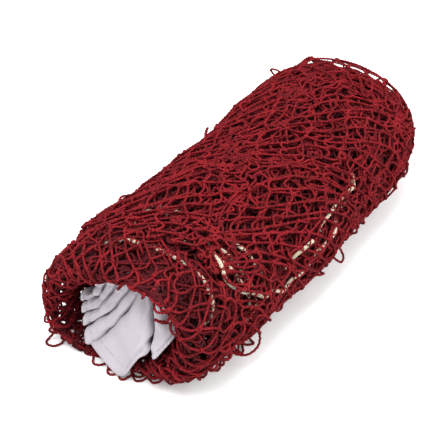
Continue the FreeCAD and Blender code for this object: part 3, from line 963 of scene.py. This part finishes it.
bights = {
    "netting_slack_barrel": bight_lines(barrel, BARREL_BIGHTS, wrap_depth(0.2), 72),
    "netting_slack_mouth": bight_lines(mouth, MOUTH_BIGHTS, mouth_depth(0.0), 74),
    "netting_slack_floor": floor_bights(RIM_ON_FLOOR, 19.0, 22.0, 75),
    "netting_slack_far": bight_lines(cap, cap_bights(12, 80.0, 76), even_depth(1.5), 77),
}


def slack_twine(lines, parts):
    """Tubes of loosely twisted twine along lines."""
    return tube_arrays(smooth_lines(lines, parts), TWINE_RADIUS, 6, 0.14, math.radians(40))


for name, lines in bights.items():
    netting[name] = [mesh_piece(name, NETTING_RED, *slack_twine(lines, 6))]
strands = joined([slack_twine(np.array([points], float), 8) for points in FREE_STRANDS])
netting["netting_free_strands"] = [mesh_piece("netting_free_strands", NETTING_RED, *strands)]

netting_nodes = [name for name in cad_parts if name.startswith("netting")]
NODES_OF = {
    "netting_wrap_outer": ["netting_outer_wrap"],
    "netting_inner_outer": ["netting_inner_wrap"],
    "netting_mouth_outer": [name for name in netting_nodes if name.startswith("netting_mouth")],
    "netting_far_outer": ["netting_far_tuck"],
    "netting_packed_core_shade": [name for name in netting_nodes if "pack" in name],
}
for name, pieces in netting.items():
    hand_in(pieces[0], "netting_twine", *NODES_OF.get(name, []))
    for piece in pieces[1:]:
        hand_in(piece, "netting_twine")

# ---- headband

BAND_CUT = 0.096, 5.7
BAND_PASSES = 14
BAND_HIGH_X = box_mm("headband")[1][0]
STACK_MIDDLE = 8.0, 63.0
STACK_TILT = math.radians(52)
DEEP_DEPTH, DEEP_PITCH = 84.0, 4.4
DEEP_NEAR, DEEP_FAR = COLLAR_X - 6.0, BAND_HIGH_X - 14.0
FABRIC_HALF, CORDED_HALF = 0.65, 1.7
CORD_COLUMN, STITCH_COLUMNS = -3, (4, -6)
CORD_RADIUS, THREAD_RADIUS = 1.1, 0.34
HEM_LENGTH, HEM_EXTRA = 26.0, 0.45
# The headband in the mouth, from its upper left pleat to its lower right one. Each line across it
# has an upper end and a lower end, at X, Y and Z. A crease lies between two pleats. Narrow pleats
# bulge from crease to crease, and the two broad ones at the right have lines of their own.
CREASES = [
    ((-208, 49, 77), (-216, 64, 66)),
    ((-208, 38, 82), (-218, 63, 55)),
    ((-208, 25, 87), (-220, 61, 42)),
    ((-208, 9, 91), (-223, 58, 29)),
    ((-208, -5, 94), (-229, 51, 14)),
    ((-204, -9, 92), (-209, -11, 32)),
    ((-208, -34, 92), (-214, -46, 72)),
]
NARROW_PLEATS = 4
BULGE = (-6.5, 0.5, 2.5), (-5.5, 0.0, -1.0)
BROAD_PLEATS = [
    [
        ((-214, -7, 99), (-238, 40, 20)),
        ((-215, -8, 100), (-242, 20, 9)),
        ((-216, -8, 100), (-244, 3, 2)),
        ((-215, -9, 100), (-241, -9, 22)),
        ((-212, -11, 97), (-236, -22, 43)),
    ],
    [
        ((-213, -15, 98), (-232, -24, 32)),
        ((-219, -20, 97), (-239, -31, 40)),
        ((-221, -27, 97), (-242, -41, 55)),
        ((-214, -33, 97), (-231, -48, 66)),
    ],
]


def pleat_lines(number):
    """The lines over one pleat's front."""
    if number >= NARROW_PLEATS:
        return BROAD_PLEATS[number - NARROW_PLEATS]
    first, second = np.array(CREASES[number : number + 2], float)
    return [first + (second - first) * share + BULGE for share in (0.2, 0.55, 0.85)]


LEFT_END = [((-204, 56, 74), (-208, 69, 72))]
RIGHT_END = [
    ((-208, -36, 94), (-212, -47, 74)),
    ((-217, -39, 96), (-224, -50, 79)),
    ((-224, -36, 100), (-232, -46, 88)),
]


def deep_line(number, x):
    """The ends of a line across a pass deep in the bundle. Passes count from the upper left."""
    across = np.array([math.sin(STACK_TILT), math.cos(STACK_TILT)])
    along = np.array([-math.cos(STACK_TILT), math.sin(STACK_TILT)])
    middle = np.array(STACK_MIDDLE) + across * ((BAND_PASSES - 1) / 2 - number) * DEEP_PITCH
    half = along * DEEP_DEPTH / 2
    return (x, *(middle + half)), (x, *(middle - half))


def band_lines():
    """Every line across the headband, in order along its length from left end to right end."""

    def far_turn(number):
        middle = np.mean([deep_line(number, DEEP_FAR), deep_line(number + 1, DEEP_FAR)], axis=0)
        middle[:, 0] += 4.0
        return [deep_line(number, DEEP_FAR), middle, deep_line(number + 1, DEEP_FAR)]

    def inward(number, way):
        stops = np.linspace(DEEP_NEAR, DEEP_FAR - 12, 10)
        return [deep_line(number, x) for x in stops[::way]]

    lines = list(LEFT_END)
    for pleat in range(len(CREASES) - 1):
        lines += [*inward(2 * pleat, 1), *far_turn(2 * pleat), *inward(2 * pleat + 1, -1)]
        lines += [CREASES[pleat], *pleat_lines(pleat), CREASES[pleat + 1]]
    last = BAND_PASSES - 2
    lines += [*inward(last, 1), *far_turn(last), *inward(last + 1, -1), *RIGHT_END]
    return np.array(lines, float)


def corner_cut(points, times):
    """Rounds a chain of points by cutting its corners."""
    for _ in range(times):
        quarter = points[:-1] * 0.75 + points[1:] * 0.25
        third = points[:-1] * 0.25 + points[1:] * 0.75
        inner = np.stack([quarter, third], axis=1).reshape(-1, *points.shape[1:])
        points = np.concatenate([points[:1], inner, points[-1:]])
    return points


def grid_normals(grid):
    """Unit normals of a grid of points."""
    return unit(np.cross(np.gradient(grid, axis=0), np.gradient(grid, axis=1)))


NEAR_GAP, DEEP_GAP = 2.2, 9.0


def band_grid(columns=41):
    """The headband's middle surface as a grid, and how far along it each row lies."""
    ends = corner_cut(band_lines(), 2)
    near = ends[..., 0].max(1) < COLLAR_X - 8
    rows = [ends[:1]]
    for k in range(len(ends) - 1):
        gap = NEAR_GAP if near[k] else DEEP_GAP
        parts = max(int(np.linalg.norm(ends[k + 1] - ends[k], axis=1).max() / gap), 1)
        t = (np.arange(parts) + 1)[:, None, None] / parts
        rows.append(ends[k] * (1 - t) + ends[k + 1] * t)
    ends = np.concatenate(rows)
    share = np.linspace(0, 1, columns)[None, :, None]
    grid = ends[:, :1] * (1 - share) + ends[:, 1:] * share
    in_mouth = np.clip((COLLAR_X - 12 - grid[..., :1]) / 25, 0, 1)
    grid = grid + np.sin(np.pi * share) * in_mouth * np.array([0.0, -2.5, -5.0])
    run = run_along(grid[:, columns // 2])
    across = share[0, :, 0] * BAND_CUT[0] / MM
    soft = wave_field(61, 46.0)(run[:, None], across[None]) * 1.1
    crinkle = wave_field(62, 17.0)(run[:, None], across[None]) * 0.32
    return grid + grid_normals(grid) * ((soft + crinkle)[..., None] * in_mouth), run


def shell_arrays(grid, half):
    """A closed shell's vertices and faces round a grid, as thick each way as half says."""
    offset = grid_normals(grid) * half[..., None]
    rows, columns = grid.shape[:2]
    upper, lower = np.arange(2 * rows * columns).reshape(2, rows, columns)
    corners = [
        (upper[:-1, :-1], upper[1:, :-1], upper[1:, 1:], upper[:-1, 1:]),
        (lower[:-1, :-1], lower[:-1, 1:], lower[1:, 1:], lower[1:, :-1]),
        (upper[:-1, 0], lower[:-1, 0], lower[1:, 0], upper[1:, 0]),
        (upper[:-1, -1], upper[1:, -1], lower[1:, -1], lower[:-1, -1]),
        (upper[0, :-1], upper[0, 1:], lower[0, 1:], lower[0, :-1]),
        (upper[-1, :-1], lower[-1, :-1], lower[-1, 1:], upper[-1, 1:]),
    ]
    vertices = np.concatenate([(grid + offset).reshape(-1, 3), (grid - offset).reshape(-1, 3)])
    return vertices, np.concatenate([np.stack(four, axis=-1).reshape(-1, 4) for four in corners])


STITCH, STITCH_GAP = 3.2, 1.6


def stitch_lines(grid, run, column):
    """Stitches on both faces along a column of the headband, where it shows."""
    normals = grid_normals(grid)
    stitches = []
    for face in (1, -1):
        line = grid[:, column] + normals[:, column] * (face * (FABRIC_HALF + 0.1))
        for start in np.arange(run[0] + 1, run[-1] - STITCH, STITCH + STITCH_GAP):
            points = at_run(line, run, np.linspace(start, start + STITCH, 5))
            if points[:, 0].max() < COLLAR_X - 22:
                stitches.append(points)
    return np.array(stitches)


band, band_run = band_grid()
across_share = np.linspace(0, 1, band.shape[1])
ridge = np.exp(-(((across_share[CORD_COLUMN] - across_share) * 30) ** 2))
half = FABRIC_HALF + (CORDED_HALF - FABRIC_HALF) * ridge[None] * np.ones((len(band), 1))
from_end = np.minimum(band_run, band_run[-1] - band_run)
half += np.where(from_end < HEM_LENGTH, HEM_EXTRA, 0.0)[:, None]
headband_piece = mesh_piece("headband_cloth", WHITE_FABRIC, *shell_arrays(band, half))
hand_in(headband_piece, "headband_fabric", "headband", "headband_left_hem", "headband_right_hem")
stitches = np.concatenate([stitch_lines(band, band_run, column) for column in STITCH_COLUMNS])
stitches = tube_arrays(smooth_lines(stitches, 2), THREAD_RADIUS, 6)
stitch_piece = mesh_piece("headband_stitches", SEWING_THREAD, *stitches)
hand_in(stitch_piece, "sewing_thread", "headband_stitching")
cord = tube_arrays(band[:, CORD_COLUMN][None], CORD_RADIUS, 6)
hand_in(mesh_piece("headband_cord", CORD_WHITE, *cord), "head_cord", "head_cord")

# ---- ropes and their lacing

ROPE_RADIUS = 1.8
BRAID_PITCH = 10.0
BRAID_STEP = 0.7
LACING_RADIUS = 0.7


def smooth_run(points, gap):
    """A smooth curve through points, at equal gaps along it."""
    curve = smooth_lines(np.asarray(points, float)[None], 12)[0]
    run = run_along(curve)
    return at_run(curve, run, np.linspace(0, run[-1], max(int(run[-1] / gap), 4) + 1))


def braid_parts(path):
    """A rope braided of four strands each way round a core."""
    side, other = (t[0] for t in carried_sides(path[None]))
    at = np.arange(len(path)) * BRAID_STEP
    strands = []
    for way in (1, -1):
        for number in range(4):
            angle = (way * 2 * np.pi * at / BRAID_PITCH + number * np.pi / 2)[:, None]
            over = way * 0.14 * np.cos(8 * np.pi * at / BRAID_PITCH)
            reach = ROPE_RADIUS * (0.68 + over)[:, None]
            strands.append(path + (side * np.cos(angle) + other * np.sin(angle)) * reach)
    core = tube_arrays(path[None], ROPE_RADIUS * 0.5, 6)
    return [tube_arrays(np.array(strands), ROPE_RADIUS * 0.29, 5), core]


def lacing_lines(path, seed, way):
    """Twine laced round a rope one way, closer in some places than in others."""
    side, other = (t[0] for t in carried_sides(path[None]))
    at = np.arange(len(path)) * BRAID_STEP
    uneven = wave_field(seed + 40, 50.0)(at, 0 * at)
    angle = way * 2 * np.pi * (at / 8.5 + 0.4 * np.sin(2 * np.pi * at / 21.0) + 0.6 * uneven)
    reach = ROPE_RADIUS + LACING_RADIUS * 0.8
    rng = np.random.default_rng(seed)
    angle = (angle + rng.uniform(0, 6))[:, None]
    return path + (side * np.cos(angle) + other * np.sin(angle)) * reach


def on_surface(surface, stations):
    """Places on a surface from s, angle in degrees and depth."""
    s, degrees, depth = np.array(stations, float).T
    return surface.place(s, degrees_round(surface, degrees), -depth)


def wavering(path, size, seed):
    """A rope's path with the bends that the twine pulls into it."""
    at = np.arange(len(path)) * BRAID_STEP
    ends = np.clip(np.minimum(at, at[-1] - at) / 25, 0, 1)[:, None]
    shift = [wave_field(seed + axis, 38.0)(at, 0 * at) for axis in range(3)]
    return path + np.stack(shift, axis=1) * size * ends


HEM_OVER_BARREL = [
    (-440, 112, 18), (-446, 122, 6), (-451, 134, 2.6), (-452, 148, 2.0), (-446, 162, 1.6),
    (-432, 171, 1.4), (-405, 177, 1.4), (-377, 177, 1.8), (-335, 173, 2.2), (-300, 166, 4.0),
    (-280, 162, 7), (-262, 162, 12), (-250, 158, 12), (-240, 153, 7), (-255, 154, 4.6),
    (-293, 158, 5.5), (-330, 166, 3.8), (-368, 165, 4.4), (-388, 166, 9), (-385, 160, 22),
]
HEM_IN_MOUTH = [
    (-34, 160, 14), (-42, 157, 8), (-48, 150, 2.8), (-54, 143, 3.2), (-60, 131, 3.0),
    (-62, 116, 4.4), (-60, 100, 3.6), (-58, 86, 4.6), (-54, 72, 4.2), (-50, 60, 5), (-42, 52, 14),
]
HEM_PASSES = 14
SIDE_TURNS = 1.55


def hem_rope_runs():
    """The hem rope in three runs: in the mouth's roll, folded deep inside, and along the flank."""
    in_mouth = on_surface(mouth, HEM_IN_MOUTH)
    along = on_surface(barrel, HEM_OVER_BARREL)
    hidden = [in_mouth[-1], (-140, -20, 70)]
    for number in range(HEM_PASSES):
        y, z = -52 + 7.0 * (number % 7), 34 + 9.0 * (number // 7)
        low, high = (-143.0, 155.0) if number % 2 == 0 else (155.0, -143.0)
        hidden += [(x, y, z) for x in np.linspace(low, high, 5)]
    hidden += [(-140, 30, 30), along[-1]]
    in_mouth = wavering(smooth_run(in_mouth, BRAID_STEP), 1.0, 91)
    return in_mouth, smooth_run(hidden, 4.0), wavering(smooth_run(along[::-1], BRAID_STEP), 2.3, 94)


def side_rope_run(low_x, high_x, start, seed):
    """A side rope wound round the bundle under its outer netting, least deep at the left."""
    turn = np.arange(0, SIDE_TURNS, 1 / 60)
    degrees = start + turn * 360
    x = low_x + (high_x - low_x) * turn / SIDE_TURNS
    wobble = wave_field(seed, 150.0, barrel.round_length)(x, degrees_round(barrel, degrees)) * 2.0
    left = np.clip(1.3 - np.abs((degrees % 360) - 138) / 24, 0, 1)
    dips = wave_field(seed + 5, 60.0)(degrees_round(barrel, degrees), 0 * degrees)
    depth = 11.0 - 7.5 * left * np.clip(0.6 + 0.6 * dips, 0, 1)
    stations = np.stack([barrel_s(x + wobble), degrees, depth], axis=1)
    return smooth_run(on_surface(barrel, stations), BRAID_STEP)


def add_rope(name, parts, lacing_name, paths, seed, node):
    """A rope and the twine laced round it, in place of their CAD nodes."""
    hand_in(mesh_piece(name, ROPE_CREAM, *joined(parts)), "edge_rope", node)
    lines = [lacing_lines(path, seed + k, way) for k, path in enumerate(paths) for way in (1, -1)]
    lacing = joined([tube_arrays(line[None], LACING_RADIUS, 5) for line in lines])
    hand_in(mesh_piece(lacing_name, NETTING_RED, *lacing), "netting_twine", node + "_lacing")


in_mouth, hidden, along = hem_rope_runs()
hem_parts = [*braid_parts(in_mouth), tube_arrays(hidden[None], ROPE_RADIUS, 8), *braid_parts(along)]
add_rope("hem_rope_braid", hem_parts, "hem_rope_twine", [in_mouth, along], 81, "hem_rope")
for side, seed, start in (("left", 83, 100.0), ("right", 85, 250.0)):
    node = side + "_side_rope"
    low, high = box_mm(node)
    run = side_rope_run(low[0] + 2, high[0] - 2, start, seed)
    add_rope(node + "_braid", braid_parts(run), node + "_twine", [run], seed, node)

# ---- floor, light and camera


def add_floor():
    """A large pale floor under the object."""
    bpy.ops.mesh.primitive_plane_add(size=8)
    floor = bpy.context.object
    floor.name = "floor"
    material, _, shader = principled("floor_white", 0.9)
    shader.inputs["Base Color"].default_value = (0.92, 0.92, 0.92, 1)
    shader.inputs["Emission Color"].default_value = (1, 1, 1, 1)
    shader.inputs["Emission Strength"].default_value = 0.17
    floor.data.materials.append(material)
    floor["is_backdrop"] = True


def aimed(name, data, place, target):
    """A light or camera at a place, turned to a target."""
    made = bpy.data.objects.new(name, data)
    made.location = place
    made.rotation_mode = "QUATERNION"
    made.rotation_quaternion = (Vector(target) - Vector(place)).to_track_quat("-Z", "Y")
    bpy.context.scene.collection.objects.link(made)
    return made


CAMERA_AZIMUTH, CAMERA_ELEVATION = math.radians(-59.0), math.radians(36.0)
CAMERA_DISTANCE = 1.483
FOCAL_LENGTH = 115.6
AIM_RIGHT, AIM_UP = -0.0379, -0.0231


def add_camera():
    """The camera stands off the near right end and looks down at the bundle."""
    level = math.cos(CAMERA_ELEVATION)
    across, out = math.sin(CAMERA_AZIMUTH), math.cos(CAMERA_AZIMUTH)
    back = Vector((across * level, -out * level, math.sin(CAMERA_ELEVATION)))
    right = Vector((out, across, 0))
    middle = Vector((0, 0, 0.06))
    aim = middle + right * AIM_RIGHT + back.cross(right) * AIM_UP
    data = bpy.data.cameras.new("camera")
    data.lens, data.sensor_width = FOCAL_LENGTH, 36
    bpy.context.scene.camera = aimed("camera", data, middle + back * CAMERA_DISTANCE, aim)


add_floor()
for name, place, size, power in (
    ("key", (-0.5, 0.15, 1.8), 1.5, 49),
    ("fill", (-1.2, -1.5, 1.2), 1.6, 4),
    ("right", (0.6, -1.6, 1.4), 1.8, 28),
):
    light = bpy.data.lights.new(name, "AREA")
    light.size, light.energy = size, power
    aimed(name, light, place, (0, 0, 0.05))
add_camera()
world = bpy.data.worlds.new("world")
world.use_nodes = True
background = world.node_tree.nodes["Background"]
background.inputs["Color"].default_value = (1, 1, 1, 1)
background.inputs["Strength"].default_value = 0.78
bpy.context.scene.world = world
bpy.context.scene.view_settings.view_transform = "Standard"

low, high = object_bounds()
